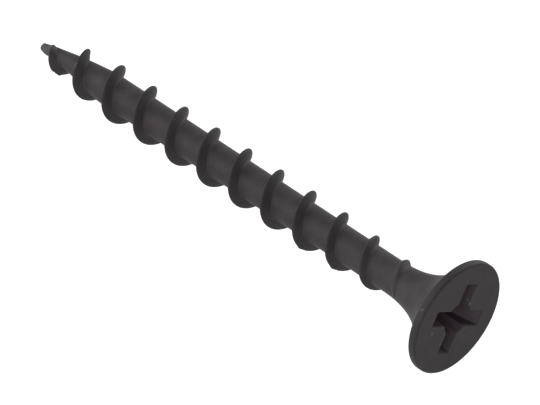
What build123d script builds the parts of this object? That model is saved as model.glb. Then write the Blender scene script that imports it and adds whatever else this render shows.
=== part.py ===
from build123d import *
import math
import os

# Coarse-thread bugle-head screw, lying along X. The origin is the centre of the flat head
# face, +X points out of the head, and the point is at the far end of -X. Millimetres.

# Whole screw. The core is measured below the head, and the thread where the point starts.
screw_length = 36.35
head_diameter = 7.88
thread_diameter = 3.46
core_diameter = 2.26
core_point_end_diameter = 2.17

# Head: flat face, short upright rim and a concave bugle underside that runs into the core
rim_height = 0.56
face_edge_round = 0.18
underside_edge_round = 0.15
bugle_length = 4.93
bugle_bend_distance = 1.08

# Cross recess, size 2: four tapered wings about a tapered centre, with a shallow cone below
recess_span = 4.9
recess_depth = 2.55
recess_wing_width = 1.06
recess_wing_draft = 3.0
recess_end_angle = 26.5
recess_centre_diameter = 2.3
recess_centre_draft = 9.0
recess_floor_angle = 28.0
recess_turn = 56.9

# Right-hand thread, rolled onto the core, with a blend at its root
thread_pitch = 2.8
thread_crest_width = 0.17
thread_flank_angle = 25.0
root_blend_height = 0.2
root_blend_width = 0.3
thread_start = 4.28
thread_start_angle = 157.8
run_out_length = 7.2
run_out_power = 0.46

# Pinched point, where the thread fades
point_length = 5.8
point_end_radius = 0.28
fade_length = 1.9
fade_power = 1.0
thread_end_gap = 0.76

# How finely the helical lines are drawn, and how far shapes reach past the face they meet
points_per_turn = 24
foot_share = 0.75
shoulder_depth = 0.04
cutter_overshoot = 0.3

head_radius = head_diameter / 2
core_radius = core_diameter / 2
core_point_end_radius = core_point_end_diameter / 2
thread_radius = thread_diameter / 2
bugle_end = rim_height + bugle_length
point_start = screw_length - point_length
thread_end = screw_length - thread_end_gap


def core_radius_at(distance):
    """Radius of the plain core at a distance behind the head face."""
    if distance < point_start:
        share = max(0.0, distance - bugle_end) / (point_start - bugle_end)
        return core_radius + (core_point_end_radius - core_radius) * share
    share = (screw_length - distance) / point_length
    return point_end_radius + (core_point_end_radius - point_end_radius) * share


def dome_point(share):
    """A point on the round end, which is tangent to the cone: 0 is its start, 1 is the apex."""
    taper = math.atan((core_point_end_radius - point_end_radius) / point_length)
    radius = point_end_radius * (1 / math.cos(taper) + math.tan(taper))
    angle = taper + (math.pi / 2 - taper) * share
    return (-screw_length + radius * (1 - math.sin(angle)), radius * math.cos(angle))


def blank():
    """The headed blank: flat face, rim, bugle, core and point, as one turned shape."""
    rim_foot = (-rim_height, head_radius)
    bugle_bend = (-rim_height - bugle_bend_distance, core_radius)
    bugle_foot = (-bugle_end, core_radius)
    point_top = (-point_start, core_point_end_radius)
    outline = [
        Line((0, 0), (0, head_radius)),
        Line((0, head_radius), rim_foot),
        Bezier(rim_foot, bugle_bend, bugle_foot),
        Line(bugle_foot, point_top),
        Line(point_top, dome_point(0)),
        ThreePointArc(dome_point(0), dome_point(0.5), (-screw_length, 0)),
        Line((-screw_length, 0), (0, 0)),
    ]
    turned = revolve(make_face(outline), Axis.X)
    turned = fillet(rim_edge(turned, -1), face_edge_round)
    return fillet(rim_edge(turned, 0), underside_edge_round)


def rim_edge(turned, place):
    """One of the widest circles of the head: 0 is the lowest, -1 is at the face."""
    widest = turned.edges().filter_by(GeomType.CIRCLE).group_by(SortBy.RADIUS)[-1]
    return widest.sort_by(Axis.X)[place]


def point_fade(distance):
    """How much of the thread is left at a distance behind the head face, from 1 down."""
    return min(1.0, (screw_length - distance) / fade_length) ** fade_power


def ridge_height(distance):
    """Height of the thread over the core: it runs out under the head and fades at the point."""
    run_out = min(1.0, (distance - thread_start) / run_out_length) ** run_out_power
    return (thread_radius - core_point_end_radius) * run_out * point_fade(distance)


def helix_point(distance, radius, offset):
    """A point on the right-hand helix, moved along the axis by the offset."""
    turns = (distance - thread_start) / thread_pitch
    angle = math.radians(thread_start_angle - 360 * turns)
    return (-distance - offset, radius * math.cos(angle), radius * math.sin(angle))


def ridge_section(distance):
    """The corners of the ridge in the plane through the axis, from the point side round."""
    core = core_radius_at(distance)
    height = ridge_height(distance)
    blend = min(root_blend_height, height / 2)
    half_crest = thread_crest_width / 2
    half_blend = half_crest + (height - blend) * math.tan(math.radians(thread_flank_angle))
    half_foot = half_blend + root_blend_width * point_fade(distance)
    half_side = [
        (core * foot_share, half_foot),
        (core - shoulder_depth, half_foot),
        (core + blend, half_blend),
        (core + height, half_crest),
    ]
    corners = [helix_point(distance, radius, offset) for radius, offset in half_side]
    for radius, offset in reversed(half_side):
        corners.append(helix_point(distance, radius, -offset))
    return corners


def ridge_turn(sections):
    """One turn of the ridge as a solid with its foot buried in the core."""
    edges = [Edge.make_spline(list(line)) for line in zip(*sections)]
    faces = []
    for index, edge in enumerate(edges):
        faces.append(Face.make_surface_from_curves(edge, edges[index - 1]))
    for corners in (sections[0], sections[-1]):
        faces.append(Face(Wire.make_polygon(corners, close=True)))
    return Solid(Shell(faces))


def thread_ridge():
    """The whole thread, as turns that meet end to end."""
    turns = math.ceil((thread_end - thread_start) / thread_pitch)
    step = (thread_end - thread_start) / (turns * points_per_turn)
    ridge = []
    for turn in range(turns):
        first = turn * points_per_turn
        stations = range(first, first + points_per_turn + 1)
        ridge.append(ridge_turn([ridge_section(thread_start + step * i) for i in stations]))
    return ridge


def recess_section(depth, span, width):
    """A rectangle across the axis at a depth behind the head face."""
    plane = Plane(origin=(-depth, 0, 0), x_dir=(0, 1, 0), z_dir=(-1, 0, 0))
    return plane * Rectangle(span, width)


def recess_wing_pair(turn):
    """Two opposite wings of the driver cross as one tapered block."""
    end_slope = math.tan(math.radians(recess_end_angle))
    side_slope = math.tan(math.radians(recess_wing_draft))
    sections = []
    for depth in (-cutter_overshoot, recess_depth):
        span = recess_span - 2 * depth * end_slope
        width = recess_wing_width - 2 * depth * side_slope
        sections.append(recess_section(depth, span, width))
    return Rot(X=turn) * loft(sections)


def recess_cutter():
    """The whole shape that the driver fills."""
    draft = math.tan(math.radians(recess_centre_draft))
    top_radius = recess_centre_diameter / 2 + cutter_overshoot * draft
    low_radius = recess_centre_diameter / 2 - recess_depth * draft
    floor_depth = recess_depth + low_radius * math.tan(math.radians(recess_floor_angle))
    outline = [
        (cutter_overshoot, 0),
        (cutter_overshoot, top_radius),
        (-recess_depth, low_radius),
        (-floor_depth, 0),
    ]
    centre = revolve(make_face(Polyline(*outline, close=True)), Axis.X)
    return recess_wing_pair(recess_turn) + recess_wing_pair(recess_turn + 90) + centre


def screw():
    """The finished one-piece screw."""
    body = blank() - recess_cutter()
    for turn in thread_ridge():
        body = body + turn
    return body


os.makedirs("parts", exist_ok=True)
export_step(screw(), "parts/screw.step")
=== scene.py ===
import math
import bpy
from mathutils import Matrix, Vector


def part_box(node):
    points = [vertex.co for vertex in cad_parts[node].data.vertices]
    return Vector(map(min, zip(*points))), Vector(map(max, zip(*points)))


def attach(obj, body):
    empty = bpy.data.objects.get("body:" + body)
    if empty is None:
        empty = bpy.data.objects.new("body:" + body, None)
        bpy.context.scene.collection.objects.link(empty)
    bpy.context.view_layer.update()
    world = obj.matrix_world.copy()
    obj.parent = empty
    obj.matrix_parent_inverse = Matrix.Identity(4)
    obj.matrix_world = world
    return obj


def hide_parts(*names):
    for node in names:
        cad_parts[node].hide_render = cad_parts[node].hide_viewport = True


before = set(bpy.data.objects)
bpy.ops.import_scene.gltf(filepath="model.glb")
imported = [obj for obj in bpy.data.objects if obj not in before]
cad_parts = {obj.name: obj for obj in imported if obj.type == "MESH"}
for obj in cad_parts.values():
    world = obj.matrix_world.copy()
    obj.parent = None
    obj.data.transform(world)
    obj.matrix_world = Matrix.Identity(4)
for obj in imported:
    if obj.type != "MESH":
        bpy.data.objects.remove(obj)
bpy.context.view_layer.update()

screwLow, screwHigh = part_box("screw")
print("frame loaded")

# The screw is shaped in millimetres and brought to metres at the end.
mm = 0.001
samePlace = 0.0005
alongAxis = 0.9  # a face's normal is along the axis past this

# Distances are measured from the head's face towards the point.
blank = {
    "length": -screwLow.x / mm,
    "headRadius": screwHigh.z / mm,
    "rimHeight": 0.56,
    "faceRound": 0.18,
    "undersideRound": 0.15,
    "bugleLength": 4.93,
    "bugleBend": 1.08,
    "coreRadius": 1.13,
    "coreRadiusAtPoint": 1.085,
    "pointLength": 5.8,
    "tipRadius": 0.21,
    "bugleSteps": 40,
    "buriedSteps": 10,  # steps of the bugle that the threaded part leaves out
    "neckStep": 27,  # the step of the bugle where head and threaded part are joined
    "jointGap": 0.1,
    "faceRoundSteps": 6,
    "undersideRoundSteps": 5,
    "domeSteps": 8,
    "segments": 120,
    "smoothAngle": 38.0,
}

thread = {
    "pitch": 2.8,
    "height": 0.645,
    "start": 4.28,
    "startAngle": 157.8,  # degrees from +Y towards +Z, at the start of the thread
    "runOut": 7.2,
    "runOutPower": 0.46,
    "fade": 1.9,
    "fadePower": 1.0,
    "endGap": 0.6,
    "endSoftness": 0.5,
    "stepsPerTurn": 120,
}

# Half of the thread's section: share of the full height, distance from the crest's middle.
threadRows = [
    (1.0, 0.0),
    (0.996, 0.030),
    (0.975, 0.060),
    (0.93, 0.090),
    (0.85, 0.124),
    (0.70, 0.172),
    (0.55, 0.219),
    (0.40, 0.266),
    (0.26, 0.309),
    (0.13, 0.350),
    (0.05, 0.380),
    (0.015, 0.410),
    (0.0, 0.46),
    (0.0, 0.62),
    (0.0, 0.92),
    (0.0, 1.17),
]

recess = {
    "span": 4.9,
    "depth": 2.55,
    "wingWidth": 1.06,
    "wingDraft": 3.0,
    "endAngle": 26.5,
    "centreRadius": 1.15,
    "centreDraft": 9.0,
    "floorAngle": 28.0,
    "turn": 56.9,
    "edgeRound": 0.09,
    "mouthRound": 0.06,
    "mouthReach": 2.8,  # every edge of the mouth is nearer the axis than this
    "faceRing": 0.03,
    "overshoot": 0.3,
    "wellSegments": 48,
}


def deselectAll():
    if bpy.context.object and bpy.context.object.mode != "OBJECT":
        bpy.ops.object.mode_set(mode="OBJECT")
    bpy.ops.object.select_all(action="DESELECT")


def startEditing(piece, mode="VERT"):
    deselectAll()
    piece.select_set(True)
    bpy.context.view_layer.objects.active = piece
    bpy.ops.object.mode_set(mode="EDIT")
    bpy.ops.mesh.select_mode(type=mode)
    bpy.ops.mesh.select_all(action="DESELECT")


def selectWhere(piece, kind, test):
    # Selects the vertices, edges or faces that pass the test; ends in edit mode.
    deselectAll()
    piece.select_set(True)
    bpy.context.view_layer.objects.active = piece
    kinds = ("vertices", "edges", "polygons")
    bpy.context.tool_settings.mesh_select_mode = [kind == name for name in kinds]
    for name in kinds:
        group = getattr(piece.data, name)
        group.foreach_set("select", [False] * len(group))
    for item in getattr(piece.data, kind):
        if test(item):
            item.select = True
    bpy.ops.object.mode_set(mode="EDIT")


def addModifier(piece, kind, settings):
    deselectAll()
    piece.select_set(True)
    bpy.context.view_layer.objects.active = piece
    bpy.ops.object.modifier_add(type=kind)
    modifier = piece.modifiers[-1]
    for name, value in settings.items():
        setattr(modifier, name, value)
    bpy.ops.object.modifier_apply(modifier=modifier.name)


def curvePoints(first, bend, last, steps):
    # A curve from first to last that leaves and arrives in line with the bend.
    corners = (first, bend, last)
    points = []
    for step in range(steps + 1):
        along = step / steps
        shares = ((1 - along) ** 2, 2 * along * (1 - along), along * along)
        points.append(tuple(sum(share * corner[axis] for share, corner in zip(shares, corners))
                            for axis in (0, 1)))
    return points


def bugleOutline():
    rimFoot = (blank["rimHeight"], blank["headRadius"])
    bend = (blank["rimHeight"] + blank["bugleBend"], blank["coreRadius"])
    foot = (blank["rimHeight"] + blank["bugleLength"], blank["coreRadius"])
    return curvePoints(rimFoot, bend, foot, blank["bugleSteps"])


def headOutline():
    # Face edge, upright rim, rounded underside edge and the bugle as far as the joint.
    radius = blank["headRadius"]
    faceRound, undersideRound = blank["faceRound"], blank["undersideRound"]
    rimFoot = (blank["rimHeight"], radius)
    bugle = bugleOutline()
    outline = curvePoints((0, radius - faceRound), (0, radius), (faceRound, radius),
                          blank["faceRoundSteps"])
    outline += curvePoints((rimFoot[0] - undersideRound, radius), rimFoot, bugle[1],
                           blank["undersideRoundSteps"])
    return outline + bugle[2:blank["neckStep"] + 1]


def shankOutline():
    # From inside the head to the rounded tip.
    length, tip = blank["length"], blank["tipRadius"]
    pointStart = length - blank["pointLength"]
    tipShare = tip / blank["pointLength"]
    domeRadius = tip + (blank["coreRadiusAtPoint"] - tip) * tipShare
    outline = bugleOutline()[blank["buriedSteps"]:]
    outline.append((pointStart, blank["coreRadiusAtPoint"]))
    outline += curvePoints((length - tip, domeRadius), (length, domeRadius), (length, 0.01),
                           blank["domeSteps"])
    return outline


def extrudeRings(rings):
    # Draws the selected ring out along the X axis, ring by ring; each is a distance and a radius.
    for (distance, radius), (nextDistance, nextRadius) in zip(rings, rings[1:]):
        move = {"value": (distance - nextDistance, 0, 0)}
        bpy.ops.mesh.extrude_edges_move(TRANSFORM_OT_translate=move)
        share = nextRadius / radius
        bpy.ops.transform.resize(value=(1, share, share), center_override=(-nextDistance, 0, 0))


def turnedShape(name, outline, segments):
    # A circle drawn out to the whole outline.
    deselectAll()
    distance, radius = outline[0]
    bpy.ops.mesh.primitive_circle_add(vertices=segments, radius=radius, location=(-distance, 0, 0),
                                      rotation=(0, math.radians(90), 0))
    piece = bpy.context.object
    piece.name = name
    bpy.ops.object.transform_apply(location=True, rotation=True, scale=True)
    startEditing(piece, "EDGE")
    bpy.ops.mesh.select_all(action="SELECT")
    extrudeRings(outline)
    bpy.ops.object.mode_set(mode="OBJECT")
    return piece


def fixNormals(piece):
    startEditing(piece)
    bpy.ops.mesh.select_all(action="SELECT")
    bpy.ops.mesh.remove_doubles(threshold=0.001)
    bpy.ops.mesh.normals_make_consistent(inside=False)
    bpy.ops.object.mode_set(mode="OBJECT")


# The plain core, used only to guide the threaded tube.
guide = turnedShape("guide", shankOutline(), blank["segments"])
fixNormals(guide)
for face in guide.data.polygons:
    face.use_smooth = True
print("core drawn")

# One pitch of the thread's section as a line along the axis, at the angle of the first crest.
pitch = thread["pitch"]
firstCrest = thread["start"] + thread["startAngle"] / 360 * pitch - 2 * pitch
turns = math.ceil((blank["length"] - firstCrest) / pitch) + 1
rows = [(share, -offset) for share, offset in reversed(threadRows[1:])] + threadRows
rows = [(0.0, -pitch / 2)] + rows + [(0.0, pitch / 2)]

deselectAll()
bpy.ops.mesh.primitive_plane_add(size=1, location=(0, 0, 0))
tube = bpy.context.object
tube.name = "thread"
startEditing(tube)
bpy.ops.mesh.select_all(action="SELECT")
bpy.ops.mesh.merge(type="CENTER")
bpy.ops.transform.translate(value=(-firstCrest - rows[0][1], blank["coreRadius"], 0))
for row, nextRow in zip(rows, rows[1:]):
    move = {"value": (row[1] - nextRow[1], 0, 0)}
    bpy.ops.mesh.extrude_vertices_move(TRANSFORM_OT_translate=move)
bpy.ops.object.mode_set(mode="OBJECT")
ridge = tube.vertex_groups.new(name="ridge")
for vertex in tube.data.vertices:
    share = min(rows, key=lambda row: abs(-firstCrest - row[1] - vertex.co.x))[0]
    ridge.add([vertex.index], share, "REPLACE")
addModifier(tube, "SCREW", {
    "axis": "X", "angle": math.radians(-360), "screw_offset": -pitch, "iterations": turns,
    "steps": thread["stepsPerTurn"], "render_steps": thread["stepsPerTurn"],
})
fixNormals(tube)
addModifier(tube, "SHRINKWRAP", {"target": guide, "wrap_method": "NEAREST_SURFACEPOINT"})
print("thread turned")


def threadLeft(distance):
    # How high the thread stands at a distance, from 0 to 1.
    along = distance - thread["start"]
    left = blank["length"] - distance
    end = left - thread["endGap"]
    if along <= 0 or end <= 0:
        return 0.0
    runOut = min(1.0, along / thread["runOut"]) ** thread["runOutPower"]
    fade = min(1.0, left / thread["fade"]) ** thread["fadePower"]
    return runOut * fade * min(1.0, end / thread["endSoftness"])


threadHeight = tube.data.attributes.new("threadHeight", "FLOAT", "POINT")
for vertex in tube.data.vertices:
    share = vertex.groups[0].weight if vertex.groups else 0.0
    share *= threadLeft(-vertex.co.x)
    tube.vertex_groups["ridge"].add([vertex.index], share, "REPLACE")
    threadHeight.data[vertex.index].value = share
addModifier(tube, "DISPLACE", {
    "vertex_group": "ridge", "strength": thread["height"], "mid_level": 0.0, "direction": "NORMAL",
})

# Cut the tube off at the neck and at the tip, and close the tip with a small dome.
neckDistance = bugleOutline()[blank["neckStep"]][0]
jointDistance = neckDistance + blank["jointGap"]
tipDistance = blank["length"] - blank["tipRadius"]
for distance, outwards in ((jointDistance, 1), (tipDistance, -1)):
    startEditing(tube)
    bpy.ops.mesh.select_all(action="SELECT")
    bpy.ops.mesh.bisect(plane_co=(-distance, 0, 0), plane_no=(outwards, 0, 0), clear_outer=True)
    bpy.ops.object.mode_set(mode="OBJECT")
selectWhere(tube, "vertices", lambda vertex: abs(vertex.co.x + tipDistance) < samePlace)
bpy.ops.mesh.select_mode(type="EDGE")
extrudeRings(shankOutline()[-blank["domeSteps"] - 1:])
bpy.ops.mesh.merge(type="CENTER")
bpy.ops.object.mode_set(mode="OBJECT")

# Small knocks that leave the point and some crests out of true: distance, degrees round the
# axis, the push's own degrees, how far it pushes and how far it reaches.
knocks = [
    (36.3, 217, 217, 0.13, 0.9),
    (33.0, 37, 37, 0.07, 3.0),
    (34.44, 240, 262, 0.08, 0.22),
    (34.62, 217, 37, 0.05, 0.20),
    (35.62, 217, 217, 0.10, 0.55),
    (9.55, 217, 230, 0.05, 0.35),
    (12.35, 225, 217, 0.05, 0.30),
]


knockSearch = 0.08


def nearestVertex(piece, distance, degrees):
    # The outermost vertex close to a distance and an angle.
    around = math.radians(degrees)
    side = Vector((0, math.cos(around), math.sin(around)))
    near = [vertex for vertex in piece.data.vertices
            if abs(vertex.co.x + distance) < knockSearch and vertex.co.dot(side) > 0]
    return max(near, key=lambda vertex: vertex.co.dot(side))


for distance, degrees, pushDegrees, push, reach in knocks:
    chosen = nearestVertex(tube, distance, degrees).index
    selectWhere(tube, "vertices", lambda vertex: vertex.index == chosen)
    around = math.radians(pushDegrees)
    bpy.ops.transform.translate(value=(0, push * math.cos(around), push * math.sin(around)),
                                use_proportional_edit=True, proportional_edit_falloff="SMOOTH",
                                proportional_size=reach)
    bpy.ops.object.mode_set(mode="OBJECT")
print("thread shaped")

# The head: a turned shape, closed at both ends until the recess is cut.
head = turnedShape("head", headOutline(), blank["segments"])
for distance in (0.0, neckDistance):
    selectWhere(head, "vertices", lambda vertex: abs(vertex.co.x + distance) < samePlace)
    bpy.ops.mesh.select_mode(type="EDGE")
    bpy.ops.mesh.edge_face_add()
fixNormals(head)


def recessWing(name, turn):
    # A block tapered towards the floor of the recess, with its long edges rounded.
    depth, over = recess["depth"], recess["overshoot"]
    endSlope = math.tan(math.radians(recess["endAngle"]))
    sideSlope = math.tan(math.radians(recess["wingDraft"]))
    deselectAll()
    bpy.ops.mesh.primitive_cube_add(size=1, location=((over - depth) / 2, 0, 0))
    wing = bpy.context.object
    wing.name = name
    topSpan = recess["span"] + 2 * over * endSlope
    topWidth = recess["wingWidth"] + 2 * over * sideSlope
    bpy.ops.transform.resize(value=(depth + over, topSpan, topWidth))
    bpy.ops.object.transform_apply(location=True, rotation=True, scale=True)
    selectWhere(wing, "vertices", lambda vertex: vertex.co.x < 0)
    bpy.ops.mesh.select_mode(type="VERT")
    spanShare = (recess["span"] - 2 * depth * endSlope) / topSpan
    widthShare = (recess["wingWidth"] - 2 * depth * sideSlope) / topWidth
    bpy.ops.transform.resize(value=(1, spanShare, widthShare), center_override=(-depth, 0, 0))
    selectWhere(wing, "edges",
                lambda edge: len({wing.data.vertices[i].co.x > 0 for i in edge.vertices}) == 2)
    bpy.ops.mesh.bevel(offset=recess["edgeRound"], segments=3, affect="EDGES")
    bpy.ops.mesh.select_all(action="SELECT")
    bpy.ops.transform.rotate(value=-math.radians(turn), orient_axis="X", center_override=(0, 0, 0))
    bpy.ops.object.mode_set(mode="OBJECT")
    return wing


def recessCentre():
    # A tapered round well with a shallow cone for its floor.
    draft = math.tan(math.radians(recess["centreDraft"]))
    topRadius = recess["centreRadius"] + recess["overshoot"] * draft
    lowRadius = recess["centreRadius"] - recess["depth"] * draft
    floor = recess["depth"] + lowRadius * math.tan(math.radians(recess["floorAngle"]))
    rings = [(-recess["overshoot"], topRadius), (recess["depth"], lowRadius), (floor, 0.02)]
    well = turnedShape("well", rings, recess["wellSegments"])
    selectWhere(well, "vertices", lambda vertex: vertex.co.x > 0)
    bpy.ops.mesh.select_mode(type="EDGE")
    bpy.ops.mesh.edge_face_add()
    selectWhere(well, "vertices", lambda vertex: vertex.co.x < -recess["depth"] - 0.1)
    bpy.ops.mesh.merge(type="CENTER")
    fixNormals(well)
    return well


cutters = [
    recessWing("wingA", recess["turn"]),
    recessWing("wingB", recess["turn"] + 90),
    recessCentre(),
]
for cutter in cutters:
    fixNormals(cutter)
    addModifier(head, "BOOLEAN", {"object": cutter, "operation": "DIFFERENCE", "solver": "EXACT"})
    bpy.data.objects.remove(cutter)


def onMouth(edge):
    ends = [head.data.vertices[i].co for i in edge.vertices]
    return all(abs(end.x) < samePlace and math.hypot(end.y, end.z) < recess["mouthReach"]
               for end in ends)


# The recess's mouth is a little rounded, and a narrow ring keeps the flat face's shading flat.
wallEdges = {key for face in head.data.polygons if abs(face.normal.x) < alongAxis
             for key in face.edge_keys}
selectWhere(head, "edges", lambda edge: onMouth(edge) and edge.key in wallEdges)
bpy.ops.mesh.select_mode(type="EDGE")
bpy.ops.mesh.bevel(offset=recess["mouthRound"], segments=3, affect="EDGES")
selectWhere(head, "polygons", lambda face: face.normal.x > 0.9999
            and abs(face.center.x) < samePlace)
bpy.ops.mesh.select_mode(type="FACE")
bpy.ops.mesh.inset(thickness=recess["faceRing"], use_boundary=True, use_even_offset=True)
bpy.ops.object.mode_set(mode="OBJECT")
print("recess cut")

# Head and threaded part become one closed mesh.
selectWhere(head, "polygons", lambda face: abs(face.center.x + neckDistance) < samePlace
            and abs(face.normal.x) > alongAxis)
bpy.ops.mesh.select_mode(type="FACE")
bpy.ops.mesh.delete(type="ONLY_FACE")
bpy.ops.object.mode_set(mode="OBJECT")
deselectAll()
head.select_set(True)
tube.select_set(True)
bpy.context.view_layer.objects.active = head
bpy.ops.object.join()
screw = head
screw.name = "phosphatedScrew"
bpy.data.objects.remove(guide)
selectWhere(screw, "vertices", lambda vertex: min(abs(vertex.co.x + neckDistance),
                                                  abs(vertex.co.x + jointDistance)) < samePlace)
bpy.ops.mesh.select_mode(type="EDGE")
bpy.ops.mesh.bridge_edge_loops()
bpy.ops.object.mode_set(mode="OBJECT")
fixNormals(screw)
deselectAll()
screw.select_set(True)
bpy.context.view_layer.objects.active = screw
bpy.ops.transform.resize(value=(mm, mm, mm), center_override=(0, 0, 0))
bpy.ops.object.transform_apply(location=True, rotation=True, scale=True)
bpy.ops.object.shade_smooth_by_angle(angle=math.radians(blank["smoothAngle"]))
print("screw joined", len(screw.data.vertices), "vertices")


def srgb(code):
    # A hex colour as the linear values that a shader wants.
    parts = [int(code[i:i + 2], 16) / 255 for i in (1, 3, 5)]
    linear = [part / 12.92 if part <= 0.04045 else ((part + 0.055) / 1.055) ** 2.4
              for part in parts]
    return linear + [1.0]


def addNode(tree, kind, settings=None, links=None):
    # Settings may name a property or an input; links give the socket that feeds an input.
    node = tree.nodes.new(kind)
    for name, value in (settings or {}).items():
        if isinstance(name, str) and hasattr(node, name):
            setattr(node, name, value)
        else:
            node.inputs[name].default_value = value
    for name, socket in (links or {}).items():
        tree.links.new(socket, node.inputs[name])
    return node


def setOrLink(tree, socket, value):
    if isinstance(value, bpy.types.NodeSocket):
        tree.links.new(value, socket)
    else:
        socket.default_value = value


def mixColours(tree, factor, first, second):
    # The colour sockets of a Mix node share their names with others, so they go by place.
    node = addNode(tree, "ShaderNodeMix", {"data_type": "RGBA"})
    for place, value in ((0, factor), (6, first), (7, second)):
        setOrLink(tree, node.inputs[place], value)
    return node.outputs[2]


def multiply(tree, first, second):
    node = addNode(tree, "ShaderNodeMath", {"operation": "MULTIPLY"}, {0: first})
    setOrLink(tree, node.inputs[1], second)
    return node.outputs["Value"]


def ramp(tree, value, low, high):
    # 0 at low and 1 at high, with a soft start and end.
    return addNode(tree, "ShaderNodeMapRange", {"interpolation_type": "SMOOTHSTEP", "From Min": low,
                                                "From Max": high}, {"Value": value}).outputs["Result"]


phosphate = {
    "light": "#2b2728",
    "dark": "#1c1819",
    # The next tone is painted shade, laid on the thread's flanks and crests and on the head's rim and
    # face.
    "paintedShade": "#171415",
    "hollow": "#2b2228",
    "worn": "#3a3738",
    "chipped": "#474342",
    "flankShadeShare": 0.5,
    "crestShadeShare": 0.7,
    "rimShadeShare": 0.6,
    "faceShadeShare": 0.35,
    "wornShare": 0.8,
    "hollowShare": 0.7,
    # The rim's tone given next is painted shade.
    "rim": (3.82, 3.91),  # millimetres from the axis, where the rim's tone starts and is full
    "face": (-0.12, -0.02),  # millimetres along the axis, as for the next two
    "point": (-34.9, -35.9),
    "recess": (-0.02, -0.35),
    "recessEdge": (2.8, 2.6),
    "recessTaper": -0.5,
    "flankHeight": (0.04, 0.22),  # shares of the thread's height
    "crestHeight": (0.86, 0.99),
    "toneSpread": (0.35, 0.65),  # noise values, as for the next three
    "chipSpread": (0.69, 0.77),
    "chipMottle": (0.45, 0.55),
    "roughSpread": (0.3, 0.7),
    "grainDetail": 4.0,
    "grainRoughness": 0.65,
    "mottleDetail": 3.0,
    "chipDetail": 2.0,
    "roughness": 0.66,
    "roughnessSpread": 0.08,
    "ior": 1.5,
    "specular": 0.22,  # pores between the crystals swallow part of the shine
    "grain": 0.14,  # millimetres; the real crystals are about 0.01 mm, too fine to show
    "mottle": 0.9,
    "mottleShare": 0.45,
    "chip": 0.7,
    "bump": 0.35,
    "bumpHeight": 0.012,
}


def perMetre(size):
    return 1 / (size * mm)


def noise(tree, place, name, settings):
    settings = {"Scale": perMetre(phosphate[name]), "Detail": phosphate[name + "Detail"], **settings}
    return addNode(tree, "ShaderNodeTexNoise", settings, {"Vector": place}).outputs["Fac"]


def rampMm(tree, value, name):
    low, high = phosphate[name]
    return ramp(tree, value, low * mm, high * mm)


def toned(tree, colour, mask, share, tone):
    # Mixes a named share of a named tone into the colour where the mask is.
    factor = multiply(tree, mask, phosphate[share])
    return mixColours(tree, factor, colour, srgb(phosphate[tone]))


def makePhosphate():
    # Manganese phosphate on hardened steel: a matt charcoal crystal skin, slightly oily.
    material = bpy.data.materials.new("blackPhosphate")
    material.use_nodes = True
    tree = material.node_tree
    shader = tree.nodes["Principled BSDF"]
    place = addNode(tree, "ShaderNodeTexCoord").outputs["Object"]
    grain = noise(tree, place, "grain", {"Roughness": phosphate["grainRoughness"]})
    mottle = noise(tree, place, "mottle", {})
    both = addNode(tree, "ShaderNodeMix", {"Factor": phosphate["mottleShare"]},
                   {"A": grain, "B": mottle}).outputs["Result"]
    low, high = phosphate["toneSpread"]
    spread = addNode(tree, "ShaderNodeMapRange", {"From Min": low, "From Max": high},
                     {"Value": both}).outputs["Result"]
    colour = mixColours(tree, spread, srgb(phosphate["dark"]), srgb(phosphate["light"]))

    # Painted shade: the thread's flanks and crests, the head's rim and the head's face are mixed
    # towards a darker tone, standing in for the shade that falls on them.
    height = addNode(tree, "ShaderNodeAttribute", {"attribute_name": "threadHeight"}).outputs["Fac"]
    onFlank = ramp(tree, height, *phosphate["flankHeight"])
    colour = toned(tree, colour, onFlank, "flankShadeShare", "paintedShade")
    onCrest = ramp(tree, height, *phosphate["crestHeight"])
    colour = toned(tree, colour, onCrest, "crestShadeShare", "paintedShade")
    split = addNode(tree, "ShaderNodeSeparateXYZ", None, {"Vector": place})
    across = addNode(tree, "ShaderNodeCombineXYZ", None,
                     {"Y": split.outputs["Y"], "Z": split.outputs["Z"]}).outputs["Vector"]
    radius = addNode(tree, "ShaderNodeVectorMath", {"operation": "LENGTH"},
                     {0: across}).outputs["Value"]
    # Painted shade laid on the head's rim and on its face.
    onRim = rampMm(tree, radius, "rim")
    colour = toned(tree, colour, onRim, "rimShadeShare", "paintedShade")
    onFace = rampMm(tree, split.outputs["X"], "face")
    colour = toned(tree, colour, onFace, "faceShadeShare", "paintedShade")

    # The coat is rubbed to grey at the point and chipped in a few small places.
    atPoint = rampMm(tree, split.outputs["X"], "point")
    colour = toned(tree, colour, atPoint, "wornShare", "worn")
    chips = noise(tree, place, "chip", {})
    chipped = multiply(tree, ramp(tree, chips, *phosphate["chipSpread"]),
                       ramp(tree, mottle, *phosphate["chipMottle"]))
    colour = mixColours(tree, chipped, colour, srgb(phosphate["chipped"]))

    # Inside the recess the coat has a purplish tone.
    inside = rampMm(tree, split.outputs["X"], "recess")
    limit = addNode(tree, "ShaderNodeMath",
                    {"operation": "MULTIPLY_ADD", 1: phosphate["recessTaper"]},
                    {0: split.outputs["X"], 2: radius}).outputs["Value"]
    inside = multiply(tree, inside, rampMm(tree, limit, "recessEdge"))
    colour = toned(tree, colour, inside, "hollowShare", "hollow")
    tree.links.new(colour, shader.inputs["Base Color"])

    roughLow = phosphate["roughness"] - phosphate["roughnessSpread"]
    roughHigh = phosphate["roughness"] + phosphate["roughnessSpread"]
    low, high = phosphate["roughSpread"]
    rough = addNode(tree, "ShaderNodeMapRange", {"From Min": low, "From Max": high,
                                                 "To Min": roughLow, "To Max": roughHigh},
                    {"Value": grain}).outputs["Result"]
    tree.links.new(rough, shader.inputs["Roughness"])
    bump = addNode(tree, "ShaderNodeBump", {"Strength": phosphate["bump"],
                                            "Distance": phosphate["bumpHeight"] * mm},
                   {"Height": grain})
    tree.links.new(bump.outputs["Normal"], shader.inputs["Normal"])
    shader.inputs["IOR"].default_value = phosphate["ior"]
    shader.inputs["Specular IOR Level"].default_value = phosphate["specular"]
    return material


screw.data.materials.clear()
screw.data.materials.append(makePhosphate())
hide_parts("screw")
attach(screw, "root")

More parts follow.
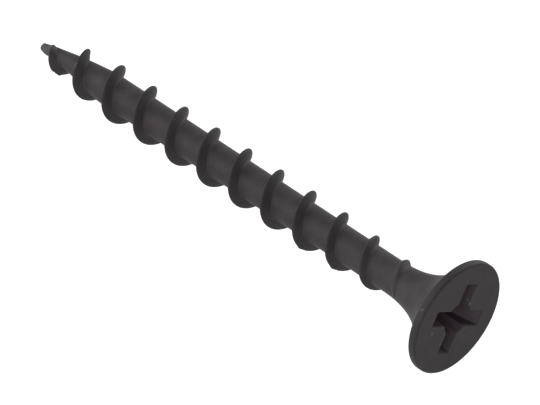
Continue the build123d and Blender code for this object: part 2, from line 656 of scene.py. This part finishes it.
# A pale floor under the head's rim and the last crests, so it leans a little along the screw.
floor = {
    "radius": 1.5,
    "centre": -0.018,
    "lean": 3.99,
    "drop": 0.00394,
    "rimHeight": 0.00056,
    "colour": "#898989",
    "roughness": 0.9,
    "glow": 0.85,  # lit from below like a light table, which keeps the shadow faint
}
lean = math.radians(floor["lean"])
deselectAll()
bpy.ops.mesh.primitive_circle_add(vertices=96, radius=floor["radius"], fill_type="NGON",
                                  location=(floor["centre"], 0, 0), rotation=(0, lean, 0))
floorDisc = bpy.context.object
floorDisc.name = "floor"
fromRim = floor["centre"] + floor["rimHeight"]
floorDisc.location.z = -floor["drop"] / math.cos(lean) - fromRim * math.tan(lean)
bpy.ops.object.transform_apply(location=True, rotation=True, scale=True)
pale = bpy.data.materials.new("paleFloor")
pale.use_nodes = True
paleInputs = pale.node_tree.nodes["Principled BSDF"].inputs
paleInputs["Base Color"].default_value = srgb(floor["colour"])
paleInputs["Roughness"].default_value = floor["roughness"]
paleInputs["Emission Color"].default_value = (1, 1, 1, 1)
paleInputs["Emission Strength"].default_value = floor["glow"]
floorDisc.data.materials.append(pale)

camera = {
    "azimuth": 43.85,
    "elevation": 43.59,
    "lens": 701.0,
    "aim": (-0.011887, -0.004486, 0.005252),
    "distance": 0.6547,
}
cameraData = bpy.data.cameras.new("camera")
cameraData.lens = camera["lens"]
cameraData.sensor_width = 36.0
cameraData.clip_start = 0.01
cameraData.clip_end = 10.0
cameraObject = bpy.data.objects.new("camera", cameraData)
cameraObject.rotation_euler = (math.radians(90 - camera["elevation"]), 0,
                               math.radians(camera["azimuth"]))
towardsCamera = cameraObject.rotation_euler.to_matrix() @ Vector((0, 0, 1))
cameraObject.location = Vector(camera["aim"]) + towardsCamera * camera["distance"]
bpy.context.scene.collection.objects.link(cameraObject)
bpy.context.scene.camera = cameraObject

# Large soft lights low around the screw: azimuth and elevation in degrees, then watts.
studio = {
    "softness": 0.3,
    "distance": 0.4,
    "surround": 0.1,
    "lights": {
        "right": (60, 35, 0.95),
        "front": (22, 22, 0.8),
        "left": (330, 35, 1.2),
        "low": (285, 22, 1.15),
        "back": (180, 25, 1.8),
        "far": (240, 50, 0.3),
    },
}
middle = (screwLow + screwHigh) / 2
for name, (azimuth, elevation, watts) in studio["lights"].items():
    around, above = math.radians(azimuth), math.radians(elevation)
    outwards = Vector((math.sin(around) * math.cos(above), -math.cos(around) * math.cos(above),
                       math.sin(above)))
    lampData = bpy.data.lights.new(name + "Light", "AREA")
    lampData.shape = "DISK"
    lampData.size = studio["softness"]
    lampData.energy = watts
    lamp = bpy.data.objects.new(name + "Light", lampData)
    lamp.location = middle + outwards * studio["distance"]
    lamp.rotation_euler = outwards.to_track_quat("Z", "Y").to_euler()
    bpy.context.scene.collection.objects.link(lamp)
world = bpy.data.worlds.new("studio")
bpy.context.scene.world = world
world.use_nodes = True
background = world.node_tree.nodes["Background"].inputs
background["Color"].default_value = (1, 1, 1, 1)
background["Strength"].default_value = studio["surround"]
bpy.context.scene.view_settings.view_transform = "Standard"
print("stage, light and camera ready")
